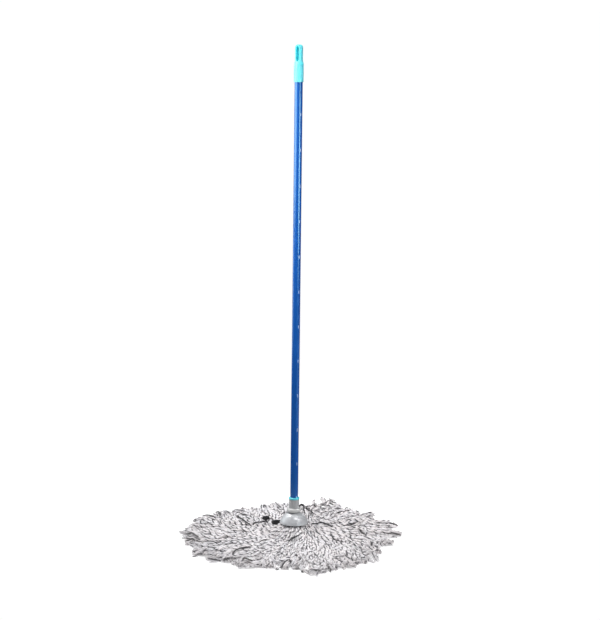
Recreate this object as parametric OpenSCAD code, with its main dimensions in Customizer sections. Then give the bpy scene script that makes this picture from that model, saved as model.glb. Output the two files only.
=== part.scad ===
// Round string mop with a swivelling head.
// The origin is on the floor, on the axis of the handle. +Z runs up the handle, and the
// hanging slot at the top is open along Y. Units are millimetres.

/* [Tube] */
// Length of the steel tube
tube_len = 1200; // [800:10:1500]
// Outer diameter of the tube with its film
tube_od = 22; // [20:0.5:24]
// Wall of the steel tube
tube_wall = 0.5; // [0.3:0.1:1]
// Thickness of the blue film round the steel
film_t = 0.3; // [0.2:0.1:0.5]

/* [Hanging cap] */
// Overall length of the cap
cap_len = 99.5; // [99.5:0.5:120]
// Diameter of the sleeve that grips the tube
cap_sleeve_d = 26; // [25.5:0.5:30]
// Diameter of the neck that holds the slot
cap_neck_d = 21.6; // [20:0.2:24]
// Depth that the tube goes into the cap
cap_grip = 52; // [48:0.5:53]
// Width of the hanging slot
slot_w = 9.2; // [6:0.2:11]
// Length of the hanging slot from end to end
slot_len = 40; // [26:0.5:40]

/* [Threaded insert] */
// Diameter of the collar between the tube and the socket
collar_d = 30; // [29:0.5:32]
// Height of the collar
collar_h = 6; // [5:0.5:10]
// Length of the plug that is pressed into the tube
plug_len = 45; // [30:1:60]
// Outer diameter of the thread
thread_d = 21; // [20:0.2:21.6]
// Length of the thread
thread_len = 17; // [12:1:18]
// Pitch of the thread
thread_pitch = 3.4; // [3:0.2:4.4]

/* [Socket] */
// Diameter of the socket at its mouth
socket_mouth_d = 28.4; // [27:0.2:29]
// Diameter of the socket above its flange
socket_root_d = 29; // [28:0.2:31]
// Height of the socket with its flange
socket_h = 34.5; // [33:0.5:40]
// Diameter of the flange
flange_d = 39; // [36:0.5:44]
// Height of the flange
flange_h = 10; // [7:0.5:11]
// Depth of the grip rings round the socket
ring_depth = 0.5; // [0.2:0.1:0.7]
// Spacing of the grip rings
ring_pitch = 2.2; // [1.6:0.1:3]

/* [Swivel] */
// Diameter of the bolt's shoulder, on which the socket turns
shoulder_d = 8; // [7:0.5:10]
// Diameter of the bolt below its shoulder
shank_d = 6; // [5:0.5:6.5]
// Space round the shoulder, on the radius
running_gap = 0.05; // [0.02:0.01:0.1]
// Space above and below the socket's floor
axial_gap = 0.3; // [0.2:0.1:0.6]
// Diameter of the washer between the dome and the flange
swivel_washer_d = 26; // [22:1:28]
// Thickness of that washer
swivel_washer_t = 1.7; // [1.5:0.1:3]

/* [Dome] */
// Diameter of the dome at its rim
dome_d = 80; // [74:1:92]
// Height of the dome
dome_h = 30; // [28:1:34]
// Wall of the dome
dome_wall = 1.6; // [1.2:0.1:2]

/* [Yarn] */
// Radius of the yarn spread out on the floor
spread_r = 310; // [250:5:350]
// Number of yarn bundles in each of the two layers
bundles = 12; // [8:4:12]
// Height of the yarn where it leaves the dome
pile_h = 42; // [38:1:48]
// Height of the yarn at the edge of the spread
pile_edge_h = 9; // [7:1:14]
// Part of the spread that the upper layer covers
upper_reach = 0.88; // [0.7:0.01:0.95]
// How the pile falls away from the dome: 1 is a straight slope, more is steeper beside the dome
pile_fall = 1.8; // [1:0.1:3]

/* [Hidden] */
$fn = 96;
cut = 1;
touch_gap = 0.3;

// Clamp under the yarn
plate_z = 14;
plate_t = 1.5;
plate_d = 60;
plate_hub_d = 22;
plate_dish = 2.5;
nut_h = 6;
nut_flats = 10;
bolt_tail = 2;
spacer_d = 12;

// Swivel stack, from the dome up to the bolt's head
crown_z = pile_h + dome_h;
socket_z = crown_z + swivel_washer_t + axial_gap;
socket_floor_t = 5;
thrust_washer_d = 16;
thrust_washer_t = 1;
thrust_washer_z = socket_z + socket_floor_t + axial_gap;
bolt_head_z = thrust_washer_z + thrust_washer_t;
bolt_head_h = 4;
bolt_head_d = 14;
well_d = 18;
well_z = socket_z + socket_floor_t;

// Handle stack
collar_z = socket_z + socket_h;
tube_z = collar_z + collar_h;
tube_top_z = tube_z + tube_len;
cap_z = tube_top_z - cap_grip;
cap_top_z = cap_z + cap_len;
// The sleeve narrows to the neck over this height, which begins just below the tube's end
flare_h = 13.5;
flare_foot = cap_grip - 6;
flare_steps = 10;
steel_od = tube_od - 2 * film_t;
steel_id = steel_od - 2 * tube_wall;
slot_end_wall = 4.5;
slot_z = cap_top_z - slot_end_wall - slot_len / 2;

// Thread form, shared by the stud and the hole it screws into
thread_depth = 0.9;
thread_gap = 0.15;
thread_turns = floor(thread_len / thread_pitch);

// Dome, part of an ellipse between its rim and its flat crown
dome_r = dome_d / 2;
dome_rim_angle = 16;
dome_crown_angle = 71;

// Yarn
yarn_hub_r = spacer_d / 2 + 1;
plate_clear_r = plate_d / 2 + 1.5;
bundle_pitch = 360 / bundles;
bundle_gap = 0.8;
pile_steps = 7;
upper_r = spread_r * upper_reach;

function digits(i) = i < 10 ? str("0", i) : str(i);
LOWER = [for (i = [1:bundles]) str("yarn_lower_", digits(i))];
UPPER = [for (i = [1:bundles]) str("yarn_upper_", digits(i))];

// Points of an ellipse about [0, cz] from angle a to angle b
function ellipse_points(rx, rz, cz, a, b, steps) =
    [for (i = [0:steps]) let (t = a + (b - a) * i / steps) [rx * cos(t), cz + rz * sin(t)]];

// A solid of revolution with rounded top edge
module rounded_post(r, h, corner) {
    rotate_extrude() union() {
        square([r, h - corner]);
        square([r - corner, h]);
        translate([r - corner, h - corner]) intersection() {
            circle(corner);
            square(corner);
        }
    }
}

// A straight tube
module tube(od, id, h) {
    difference() {
        cylinder(d = od, h = h);
        translate([0, 0, -cut]) cylinder(d = id, h = h + 2 * cut);
    }
}

// Outline of a slot with round ends, standing along Y
module slot_outline(w, len) {
    union() {
        square([w, len - w], center = true);
        for (s = [-1, 1]) translate([0, s * (len - w) / 2]) circle(d = w);
    }
}

// Half section of a thread: V ridges between two radii, running down from z = 0
module thread_section(major_r, turns, pitch) {
    polygon(concat(
        [[0, 0], [major_r - thread_depth, 0]],
        [for (i = [0:turns - 1]) each [
            [major_r - thread_depth, -i * pitch],
            [major_r, -(i + 0.35) * pitch],
            [major_r, -(i + 0.65) * pitch],
            [major_r - thread_depth, -(i + 1) * pitch]]],
        [[0, -turns * pitch]]));
}

module hanging_cap() {
    sleeve_r = cap_sleeve_d / 2;
    neck_r = cap_neck_d / 2;
    cap_edge = 0.6;
    color("turquoise") difference() {
        union() {
            translate([0, 0, cap_z]) rotate_extrude() polygon(concat(
                [[0, 0], [sleeve_r - cap_edge, 0], [sleeve_r, cap_edge]],
                [for (i = [0:flare_steps]) let (t = i / flare_steps)
                    [neck_r + (sleeve_r - neck_r) * (1 + cos(180 * t)) / 2, flare_foot + flare_h * t]],
                [[0, flare_foot + flare_h]]));
            translate([0, 0, cap_z]) rounded_post(neck_r, cap_len, 8);
        }
        translate([0, 0, cap_z - cut]) cylinder(d = tube_od, h = cap_grip + cut);
        translate([0, cap_neck_d, slot_z]) rotate([90, 0, 0])
            linear_extrude(2 * cap_neck_d) slot_outline(slot_w, slot_len);
    }
}

module tube_film() {
    color("royalblue") translate([0, 0, tube_z]) tube(tube_od, steel_od, tube_len);
}

module steel_tube() {
    color("silver") translate([0, 0, tube_z]) tube(steel_od, steel_id, tube_len);
}

module threaded_insert() {
    rib_w = 2;
    core_d = steel_id - 3;
    lead = 2;
    collar_round = 2.4;
    collar_core_r = collar_d / 2 - collar_round;
    color("turquoise") {
        translate([0, 0, collar_z]) rotate_extrude() union() {
            square([collar_core_r, collar_h]);
            translate([0, collar_round]) square([collar_d / 2, collar_h - 2 * collar_round]);
            for (h = [collar_round, collar_h - collar_round])
                translate([collar_core_r, h]) intersection() {
                    circle(collar_round);
                    translate([0, -collar_round]) square([collar_round, 2 * collar_round]);
                }
        }
        translate([0, 0, collar_z]) rotate_extrude()
            thread_section(thread_d / 2, thread_turns, thread_pitch);
        translate([0, 0, tube_z]) cylinder(d = core_d, h = plug_len);
        for (h = [0, plug_len / 2, plug_len - rib_w - lead])
            translate([0, 0, tube_z + h]) cylinder(d = steel_id, h = rib_w);
    }
}

module socket() {
    wall_h = socket_h - flange_h;
    taper = (socket_root_d - socket_mouth_d) / 2;
    rings = floor((wall_h - 2) / ring_pitch);
    flange_edge = 0.6;
    bead_w = (flange_d - socket_root_d) / 2;
    bead_h = flange_h * 0.5;
    function wall_r(h) = socket_root_d / 2 - taper * h / wall_h;
    color("darkgray") difference() {
        union() {
            translate([0, 0, socket_z + flange_h]) rotate_extrude() polygon(concat(
                [[0, 0], [wall_r(0), 0]],
                [for (i = [0:rings - 1]) each [
                    [wall_r(0.6 + i * ring_pitch), 0.6 + i * ring_pitch],
                    [wall_r(1.1 + i * ring_pitch) - ring_depth, 1.1 + i * ring_pitch],
                    [wall_r(1.6 + i * ring_pitch), 1.6 + i * ring_pitch]]],
                [[wall_r(wall_h), wall_h], [0, wall_h]]));
            translate([0, 0, socket_z]) rotate_extrude() polygon(concat(
                [[0, 0], [flange_d / 2 - flange_edge, 0], [flange_d / 2, flange_edge]],
                [for (p = ellipse_points(bead_w, bead_h, flange_h - bead_h, 0, 90, 10))
                    [socket_root_d / 2 + p[0], p[1]]],
                [[0, flange_h]]));
        }
        translate([0, 0, socket_z - cut])
            cylinder(r = shoulder_d / 2 + running_gap, h = socket_floor_t + 2 * cut);
        translate([0, 0, well_z]) cylinder(d = well_d, h = socket_h);
        translate([0, 0, collar_z]) rotate_extrude()
            thread_section(thread_d / 2 + thread_gap, thread_turns, thread_pitch);
    }
}

module swivel_bolt() {
    tail_z = plate_z - nut_h - bolt_tail;
    color("silver") union() {
        translate([0, 0, bolt_head_z]) rounded_post(bolt_head_d / 2, bolt_head_h, 1.5);
        translate([0, 0, crown_z]) cylinder(d = shoulder_d, h = bolt_head_z - crown_z);
        translate([0, 0, tail_z]) cylinder(d = shank_d, h = crown_z - tail_z);
    }
}

module thrust_washer() {
    color("dimgray") translate([0, 0, thrust_washer_z])
        tube(thrust_washer_d, shoulder_d, thrust_washer_t);
}

module swivel_washer() {
    color("dimgray") translate([0, 0, crown_z])
        tube(swivel_washer_d, shoulder_d, swivel_washer_t);
}

module dome() {
    rz = dome_h / (sin(dome_crown_angle) - sin(dome_rim_angle));
    rx = dome_r / cos(dome_rim_angle);
    centre_z = crown_z - rz * sin(dome_crown_angle);
    inner_rz = rz - dome_wall;
    inner_rx = rx - dome_wall;
    inner_rim_angle = asin((pile_h - centre_z) / inner_rz);
    inner_crown_angle = asin((crown_z - dome_wall - centre_z) / inner_rz);
    color("lightgray") difference() {
        rotate_extrude() polygon(concat(
            ellipse_points(rx, rz, centre_z, dome_rim_angle, dome_crown_angle, 24),
            [[0, crown_z], [0, crown_z - dome_wall]],
            ellipse_points(inner_rx, inner_rz, centre_z, inner_crown_angle, inner_rim_angle, 24)));
        translate([0, 0, crown_z - dome_h]) cylinder(d = shank_d, h = dome_h + cut);
    }
}

module yarn_spacer() {
    spacer_z = plate_z + plate_t;
    color("dimgray") translate([0, 0, spacer_z])
        tube(spacer_d, shank_d, crown_z - dome_wall - spacer_z);
}

module clamp_plate() {
    rim_r = plate_d / 2;
    color("silver") translate([0, 0, plate_z]) difference() {
        rotate_extrude() polygon([
            [0, 0], [plate_hub_d / 2, 0], [rim_r - 4, -plate_dish], [rim_r, -plate_dish],
            [rim_r, plate_t - plate_dish], [rim_r - 4, plate_t - plate_dish],
            [plate_hub_d / 2, plate_t], [0, plate_t]]);
        translate([0, 0, -cut]) cylinder(d = shank_d, h = plate_t + 2 * cut);
    }
}

module spring_washer() {
    color("silver") translate([0, 0, plate_z - 1.4]) tube(nut_flats + 1, shank_d, 1.4);
}

module lock_nut() {
    color("silver") translate([0, 0, plate_z - 1.4 - nut_h]) difference() {
        cylinder(d = nut_flats / cos(30), h = nut_h, $fn = 6);
        translate([0, 0, -cut]) cylinder(d = shank_d, h = nut_h + 2 * cut);
    }
}

// Height of the whole pile at radius r
function pile_top(r) =
    r <= dome_r ? pile_h - 0.5
    : pile_edge_h + (pile_h - 0.5 - pile_edge_h) * pow((spread_r - r) / (spread_r - dome_r), pile_fall);
// Height where the two layers meet
function layer_z(r) = 0.52 * pile_top(r);
// Radii at which a layer's slope is drawn, closer together beside the dome
function slope_radii(reach) =
    [for (i = [0:pile_steps]) dome_r + (reach - dome_r) * pow(i / pile_steps, 1.5)];

// One bundle, a sector of its layer centred on angle a
module bundle(a) {
    spread = bundle_pitch - bundle_gap;
    rotate([0, 0, a - spread / 2]) rotate_extrude(angle = spread) children();
}

module yarn_lower(i) {
    radii = slope_radii(spread_r);
    over_plate = plate_z + plate_t + touch_gap;
    color("whitesmoke") bundle(bundle_pitch * (i - 1)) polygon(concat(
        [[yarn_hub_r, layer_z(0)], [yarn_hub_r, over_plate], [plate_clear_r, over_plate]],
        [[plate_clear_r, 0], [spread_r, 0]],
        [for (k = [pile_steps:-1:0]) [radii[k], layer_z(radii[k])]]));
}

module yarn_upper(i) {
    radii = slope_radii(upper_r);
    color("gainsboro") bundle(bundle_pitch * (i - 0.5)) polygon(concat(
        [[yarn_hub_r, pile_top(0)], [yarn_hub_r, layer_z(0) + touch_gap]],
        [for (k = [0:pile_steps]) [radii[k], layer_z(radii[k]) + touch_gap]],
        [for (k = [pile_steps:-1:0]) [radii[k], pile_top(radii[k])]]));
}

hanging_cap();
tube_film();
steel_tube();
threaded_insert();
socket();
swivel_bolt();
thrust_washer();
swivel_washer();
dome();
yarn_spacer();
clamp_plate();
spring_washer();
lock_nut();
for (i = [1:bundles]) {
    yarn_lower(i);
    yarn_upper(i);
}
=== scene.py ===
"""Looks of the round string mop: camera, studio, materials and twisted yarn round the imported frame."""
import math

import bpy
import numpy as np
from mathutils import Matrix, Vector


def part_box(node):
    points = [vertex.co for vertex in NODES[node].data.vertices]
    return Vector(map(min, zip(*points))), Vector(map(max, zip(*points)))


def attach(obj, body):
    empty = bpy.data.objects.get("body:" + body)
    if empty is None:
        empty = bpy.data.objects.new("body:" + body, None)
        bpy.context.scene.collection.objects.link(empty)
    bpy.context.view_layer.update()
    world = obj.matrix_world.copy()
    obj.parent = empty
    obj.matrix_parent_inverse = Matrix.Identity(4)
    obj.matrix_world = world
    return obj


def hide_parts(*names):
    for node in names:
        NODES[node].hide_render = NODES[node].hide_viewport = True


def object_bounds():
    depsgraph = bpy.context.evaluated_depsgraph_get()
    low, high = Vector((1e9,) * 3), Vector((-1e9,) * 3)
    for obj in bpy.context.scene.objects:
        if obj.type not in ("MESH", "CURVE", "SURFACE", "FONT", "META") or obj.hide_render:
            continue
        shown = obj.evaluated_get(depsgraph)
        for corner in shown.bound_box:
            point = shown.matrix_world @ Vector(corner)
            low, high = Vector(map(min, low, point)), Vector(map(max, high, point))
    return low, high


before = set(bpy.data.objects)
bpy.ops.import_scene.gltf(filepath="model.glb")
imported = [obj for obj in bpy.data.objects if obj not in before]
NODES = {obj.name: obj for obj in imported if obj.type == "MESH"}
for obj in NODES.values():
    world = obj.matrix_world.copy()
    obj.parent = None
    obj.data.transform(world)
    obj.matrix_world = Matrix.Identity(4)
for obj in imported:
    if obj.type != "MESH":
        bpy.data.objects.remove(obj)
CAD_LOW, CAD_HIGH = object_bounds()

# ---------------------------------------------------------------- camera
CAMERA_AZIMUTH = math.radians(28)
CAMERA_DISTANCE = 4.276
CAMERA_HEIGHT = 1.304
CAMERA_TILT = math.radians(8.78)
CAMERA_ROLL = math.radians(0.65)
CAMERA_YAW = math.radians(0.14)
FOCAL_LENGTH = 91.57
SENSOR = 36.0
VIEW_DEPTH = 60


def around(azimuth, distance, height):
    """A point beside the mop, with azimuth 0 on the -Y side and growing towards +X."""
    return Vector((math.sin(azimuth) * distance, -math.cos(azimuth) * distance, height))


def bearing(degrees):
    """A direction from the axis, given in degrees to the right of the camera's side, as an angle from +X."""
    return CAMERA_AZIMUTH - math.pi / 2 + math.radians(degrees)


def beside(right, away):
    """Floor coordinates of a place given to the right of the axis and away from the camera's side."""
    cos, sin = math.cos(CAMERA_AZIMUTH), math.sin(CAMERA_AZIMUTH)
    return right * cos - away * sin, right * sin + away * cos


def make_camera():
    data = bpy.data.cameras.new("camera")
    data.lens = FOCAL_LENGTH
    data.sensor_width = SENSOR
    data.clip_end = VIEW_DEPTH
    camera = bpy.data.objects.new("camera", data)
    bpy.context.scene.collection.objects.link(camera)
    heading = CAMERA_AZIMUTH - CAMERA_YAW
    level = Vector((-math.sin(heading), math.cos(heading), 0))
    right = Vector((math.cos(heading), math.sin(heading), 0))
    up = Vector((0, 0, 1))
    forward = level * math.cos(CAMERA_TILT) - up * math.sin(CAMERA_TILT)
    upright = level * math.sin(CAMERA_TILT) + up * math.cos(CAMERA_TILT)
    side = right * math.cos(CAMERA_ROLL) + upright * math.sin(CAMERA_ROLL)
    top = upright * math.cos(CAMERA_ROLL) - right * math.sin(CAMERA_ROLL)
    turn = Matrix((side, top, -forward)).transposed().to_4x4()
    place = around(CAMERA_AZIMUTH, CAMERA_DISTANCE, CAMERA_HEIGHT)
    camera.matrix_world = Matrix.Translation(place) @ turn
    bpy.context.scene.camera = camera


# ---------------------------------------------------------------- node helpers
# The Mix node has sockets of its own for each kind of data, all with the same names
MIX_COLOR_A, MIX_COLOR_B, MIX_COLOR_OUT = 6, 7, 2
MIX_NUMBER_A, MIX_NUMBER_B, MIX_NUMBER_OUT = 2, 3, 0
SURFACE_SOCKETS = {"color": "Base Color", "roughness": "Roughness", "metallic": "Metallic",
                   "normal": "Normal", "specular": "Specular IOR Level", "specular_tint": "Specular Tint",
                   "sheen": "Sheen Weight", "sheen_roughness": "Sheen Roughness",
                   "subsurface": "Subsurface Weight", "subsurface_scale": "Subsurface Scale",
                   "subsurface_radius": "Subsurface Radius"}


class Shader:
    """A material's node tree, with short calls for the nodes that the materials here share."""

    def __init__(self, name):
        self.material = bpy.data.materials.new(name)
        self.material.use_nodes = True
        self.tree = self.material.node_tree
        self.tree.nodes.clear()
        self.surface = self.node("ShaderNodeBsdfPrincipled")
        out = self.node("ShaderNodeOutputMaterial")
        self.link(self.surface.outputs[0], out.inputs["Surface"])

    def node(self, kind, **settings):
        made = self.tree.nodes.new(kind)
        for key, value in settings.items():
            setattr(made, key, value)
        return made

    def link(self, a, b):
        self.tree.links.new(a, b)

    def feed(self, socket, value):
        """Links a socket to another one, or sets it to a number or a colour."""
        if isinstance(value, bpy.types.NodeSocket):
            self.link(value, socket)
        elif isinstance(value, (tuple, list)) and len(value) == 3 and socket.type == "RGBA":
            socket.default_value = (*value, 1)
        else:
            socket.default_value = value

    def set(self, **values):
        for key, value in values.items():
            self.feed(self.surface.inputs[SURFACE_SOCKETS[key]], value)

    def place(self, stretch=(1, 1, 1)):
        """Object coordinates in metres, multiplied by stretch."""
        coords = self.node("ShaderNodeTexCoord")
        mapping = self.node("ShaderNodeMapping")
        mapping.inputs["Scale"].default_value = stretch
        self.link(coords.outputs["Object"], mapping.inputs["Vector"])
        return mapping.outputs[0]

    def noise(self, scale, detail=4.0, roughness=0.55, stretch=(1, 1, 1)):
        """Noise with scale features to a metre. A small stretch draws them out along that axis."""
        made = self.node("ShaderNodeTexNoise")
        self.feed(made.inputs["Scale"], scale)
        self.feed(made.inputs["Detail"], detail)
        self.feed(made.inputs["Roughness"], roughness)
        self.link(self.place(stretch), made.inputs["Vector"])
        return made.outputs["Fac"]

    def spread(self, value, low, high, out_low=0.0, out_high=1.0, smooth=False):
        """Maps low to high onto out_low to out_high, and holds the result at both ends."""
        made = self.node("ShaderNodeMapRange")
        made.interpolation_type = "SMOOTHSTEP" if smooth else "LINEAR"
        self.feed(made.inputs["Value"], value)
        ends = (("From Min", low), ("From Max", high), ("To Min", out_low), ("To Max", out_high))
        for socket, number in ends:
            self.feed(made.inputs[socket], number)
        return made.outputs[0]

    def math(self, operation, a, b=0.0):
        made = self.node("ShaderNodeMath", operation=operation)
        self.feed(made.inputs[0], a)
        self.feed(made.inputs[1], b)
        return made.outputs[0]

    def mix(self, factor, a, b, blend="MIX"):
        made = self.node("ShaderNodeMix", data_type="RGBA", blend_type=blend)
        self.feed(made.inputs["Factor"], factor)
        self.feed(made.inputs[MIX_COLOR_A], a)
        self.feed(made.inputs[MIX_COLOR_B], b)
        return made.outputs[MIX_COLOR_OUT]

    def mix_numbers(self, factor, a, b):
        made = self.node("ShaderNodeMix", data_type="FLOAT")
        self.feed(made.inputs["Factor"], factor)
        self.feed(made.inputs[MIX_NUMBER_A], a)
        self.feed(made.inputs[MIX_NUMBER_B], b)
        return made.outputs[MIX_NUMBER_OUT]

    def bump(self, height, distance):
        made = self.node("ShaderNodeBump")
        made.inputs["Distance"].default_value = distance
        self.link(height, made.inputs["Height"])
        return made.outputs[0]

    def split(self, vector):
        made = self.node("ShaderNodeSeparateXYZ")
        self.link(vector, made.inputs[0])
        return made.outputs


# ---------------------------------------------------------------- stage and light
FLOOR_RADIUS = 0.44
FLOOR_SIDES = 96
FLOOR_GLOW = 0.30
PAPER_SCALE = 35
PAPER_TONES = ((0.86, 0.86, 0.86), (0.9, 0.9, 0.9))
# Colour and strength of the world: as diffuse light, in reflections, and straight to the camera
SURROUND = ((0.95, 0.97, 1.0), 0.27)
REFLECTED = ((0.80, 0.88, 1.0), 0.10)
BACKDROP = ((1.0, 1.0, 1.0), 1.02)
COOL = (0.92, 0.99, 1.0)
PALE_BLUE = (0.82, 0.94, 1.0)


def make_stage():
    """A round white paper floor, which glows a little so that it runs into the backdrop."""
    bpy.ops.mesh.primitive_circle_add(vertices=FLOOR_SIDES, radius=FLOOR_RADIUS, fill_type="NGON",
                                      location=(0, 0, 0))
    floor = bpy.context.object
    floor.name = "floor"
    s = Shader("floor_paper")
    fibre = s.noise(PAPER_SCALE, detail=5)
    s.set(color=s.mix(s.spread(fibre, 0.3, 0.7), *PAPER_TONES), roughness=0.9)
    s.surface.inputs["Emission Color"].default_value = (1, 1, 1, 1)
    s.surface.inputs["Emission Strength"].default_value = FLOOR_GLOW
    floor.data.materials.append(s.material)


def make_world():
    """A white backdrop, a soft pale surround for diffuse light and a dim one for reflections."""
    world = bpy.data.worlds.new("studio")
    world.use_nodes = True
    tree = world.node_tree
    tree.nodes.clear()

    def background(color, strength):
        light = tree.nodes.new("ShaderNodeBackground")
        light.inputs[0].default_value = (*color, 1)
        light.inputs[1].default_value = strength
        return light.outputs[0]

    path = tree.nodes.new("ShaderNodeLightPath")
    shown = background(*SURROUND)
    for ray, layer in (("Is Glossy Ray", REFLECTED), ("Is Camera Ray", BACKDROP)):
        mixed = tree.nodes.new("ShaderNodeMixShader")
        tree.links.new(path.outputs[ray], mixed.inputs[0])
        tree.links.new(shown, mixed.inputs[1])
        tree.links.new(background(*layer), mixed.inputs[2])
        shown = mixed.outputs[0]
    out = tree.nodes.new("ShaderNodeOutputWorld")
    tree.links.new(shown, out.inputs[0])
    bpy.context.scene.world = world
    view = bpy.context.scene.view_settings
    view.view_transform = "Standard"
    view.look = "None"


def softbox(name, azimuth, distance, height, size, power, aim_height, color=(1, 1, 1), spread=180,
            mirrored=True):
    """A soft area light that aims at the axis. The azimuth is in degrees to the right of the camera's
    side, spread is the angle of its grid, and a light that isn't mirrored shows in no reflection."""
    data = bpy.data.lights.new(name, "AREA")
    data.shape = "RECTANGLE"
    data.size, data.size_y = size
    data.energy = power
    data.spread = math.radians(spread)
    data.color = color
    light = bpy.data.objects.new(name, data)
    bpy.context.scene.collection.objects.link(light)
    place = around(CAMERA_AZIMUTH + math.radians(azimuth), distance, height)
    light.location = place
    aim = Vector((0, 0, aim_height)) - place
    light.rotation_mode = "QUATERNION"
    light.rotation_quaternion = aim.to_track_quat("-Z", "Y")
    light.visible_camera = False
    light.visible_glossy = mirrored


def make_lights():
    """Gridded windows and a gridded key light the tube. The head is lit from above, by two small gridded
    lights that shine in the dome, and by two cards at its right."""
    softbox("left_window", -72, 1.3, 1.5, (1.4, 1.35), 8.2, 1.5, COOL, spread=80)
    softbox("left_edge", -110, 1.3, 1.30, (0.5, 2.0), 3.9, 1.30, COOL, spread=95)
    softbox("front_key", -24, 1.9, 1.9, (0.7, 0.7), 1.9, 1.02, spread=30)
    softbox("right_window", 46, 1.7, 0.93, (0.8, 0.58), 2.2, 0.93, PALE_BLUE, spread=60)
    softbox("right_card", 80, 1.5, 0.45, (0.5, 0.7), 8, 0.2, mirrored=False)
    softbox("low_card", 72, 1.2, 0.16, (0.7, 0.30), 0.65, 0.18)
    softbox("dome_left", -127, 0.95, 1.55, (0.4, 0.4), 0.50, 0.06, spread=34)
    softbox("dome_right", 45, 0.82, 1.50, (0.32, 0.32), 0.24, 0.06, spread=32)
    softbox("overhead", -60, 0.9, 3.0, (1.8, 1.8), 73, 0.0, mirrored=False)


# ---------------------------------------------------------------- hard parts
# Scales are in features to a metre and depths in metres, here and in the other materials
FLOW_SCALE = 38
FLOW_MOTTLE = 0.06
HANDLING_SCALE = 420
BRUSHING_SCALE = 900
BRUSHING_DEPTH = 0.00003
TARNISH_SCALE = 60
TARNISH = 0.88

STREAK_SCALE = 260
STREAK_STRETCH = (1, 1, 0.012)
STREAK_DEPTH = 0.00004
STREAK_TONES = ((0.0020, 0.049, 0.236), (0.0037, 0.070, 0.318))
CLOUD_SCALE = 14
CLOUD_TONE = (0.0028, 0.060, 0.27)
SCUFF_SCALE = 120
FILM_GLOSS = 0.8
FILM_GLOSS_TINT = (0.60, 1.0, 1.0)
DASH_COLOR = (0.62, 0.72, 0.86)
DASH_STRENGTH = 0.65
DASH_WEAR_SCALE = 700
# One dash starts this far over the film's lower end, and the next ones follow at this pitch
DASH_START = 0.0925
DASH_PITCH = 0.0965
# The parts of the pitch that a dash fills, and that it fades over at both ends
DASH_PART = 0.10
DASH_FADE = 0.012
# Direction of the dashes from the axis, and how far round from it, in radians, they are full and gone
DASH_BEARING = 38
DASH_FULL = 0.08
DASH_GONE = 0.12

# The flange's gloss is its own, but its paler grey is a painted highlight of the light its upturned bead
# catches
FLANGE_THICK = 0.010
FLANGE_LIT_COLOR = (0.51, 0.51, 0.50)
FLANGE_ROUGHNESS = 0.34


def moulded_plastic(name, color, rough, grain=2600, depth=0.00004):
    """Injection-moulded plastic: fine spark texture, slight flow mottling and handling marks."""
    s = Shader(name)
    dark = tuple(c * (1 - FLOW_MOTTLE) for c in color)
    light = tuple(min(1, c * (1 + FLOW_MOTTLE)) for c in color)
    flow = s.noise(FLOW_SCALE, detail=3)
    marks = s.noise(HANDLING_SCALE, detail=6, roughness=0.7)
    s.set(color=s.mix(s.spread(flow, 0.35, 0.65), dark, light),
          roughness=s.spread(marks, 0.35, 0.7, rough - 0.06, rough + 0.08),
          normal=s.bump(s.noise(grain, detail=2), depth))
    return s


def brushed_metal(name, color, rough, stretch):
    """Bare metal, a little tarnished, with fine lines drawn out along the axis with a small stretch."""
    s = Shader(name)
    lines = s.noise(BRUSHING_SCALE, detail=3, stretch=stretch)
    dull = tuple(c * TARNISH for c in color)
    s.set(color=s.mix(s.spread(s.noise(TARNISH_SCALE), 0.35, 0.65), dull, color),
          metallic=1.0, roughness=s.spread(lines, 0.3, 0.7, rough - 0.08, rough + 0.1),
          normal=s.bump(lines, BRUSHING_DEPTH))
    return s.material


def film_material():
    """Glossy film on the tube: long drawn streaks, cloudy patches, scuffs and plain worn pale dashes."""
    s = Shader("blue_film")
    x, y, z = s.split(s.place())
    streak = s.noise(STREAK_SCALE, detail=4, stretch=STREAK_STRETCH)
    cloud = s.noise(CLOUD_SCALE, detail=3)
    blue = s.mix(s.spread(streak, 0.3, 0.7), *STREAK_TONES)
    blue = s.mix(s.spread(cloud, 0.35, 0.65, 0.0, 0.5), blue, CLOUD_TONE)
    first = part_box("tube_film")[0].z + DASH_START
    step = s.math("FRACT", s.math("MULTIPLY", s.math("SUBTRACT", z, first), 1 / DASH_PITCH))
    lower_end = s.spread(step, 0.0, DASH_FADE, smooth=True)
    upper_end = s.spread(step, DASH_PART, DASH_PART - DASH_FADE, smooth=True)
    dash = s.math("MULTIPLY", lower_end, upper_end)
    off = s.math("ABSOLUTE", s.math("SUBTRACT", s.math("ARCTAN2", y, x), bearing(DASH_BEARING)))
    dash = s.math("MULTIPLY", dash, s.spread(off, DASH_GONE, DASH_FULL, smooth=True))
    worn = s.spread(s.noise(DASH_WEAR_SCALE, detail=4), 0.20, 0.55)
    dash = s.math("MULTIPLY", dash, s.math("MULTIPLY", worn, DASH_STRENGTH))
    scuff = s.noise(SCUFF_SCALE, detail=8, roughness=0.75)
    s.set(color=s.mix(dash, blue, DASH_COLOR), roughness=s.spread(scuff, 0.4, 0.75, 0.20, 0.31),
          specular=FILM_GLOSS, specular_tint=FILM_GLOSS_TINT, normal=s.bump(streak, STREAK_DEPTH))
    return s.material


def polish_flange_paint_highlight(s):
    """The smooth flange under the ribbed socket is glossier than the ribs, and painted paler as a painted
    highlight.
    """
    height = s.split(s.place())[2]
    flange_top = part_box("socket")[0].z + FLANGE_THICK
    smooth = s.spread(height, flange_top + 0.0005, flange_top - 0.001)
    rib_color = s.surface.inputs["Base Color"].links[0].from_socket
    rib_roughness = s.surface.inputs["Roughness"].links[0].from_socket
    # Painted highlight: the flange gets a paler grey than the ribs, as if lit from above
    s.set(color=s.mix(smooth, rib_color, FLANGE_LIT_COLOR),
          roughness=s.mix_numbers(smooth, rib_roughness, FLANGE_ROUGHNESS))


def paint(node, material):
    for slot in NODES[node].material_slots:
        slot.link = "OBJECT"
        slot.material = material


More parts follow.
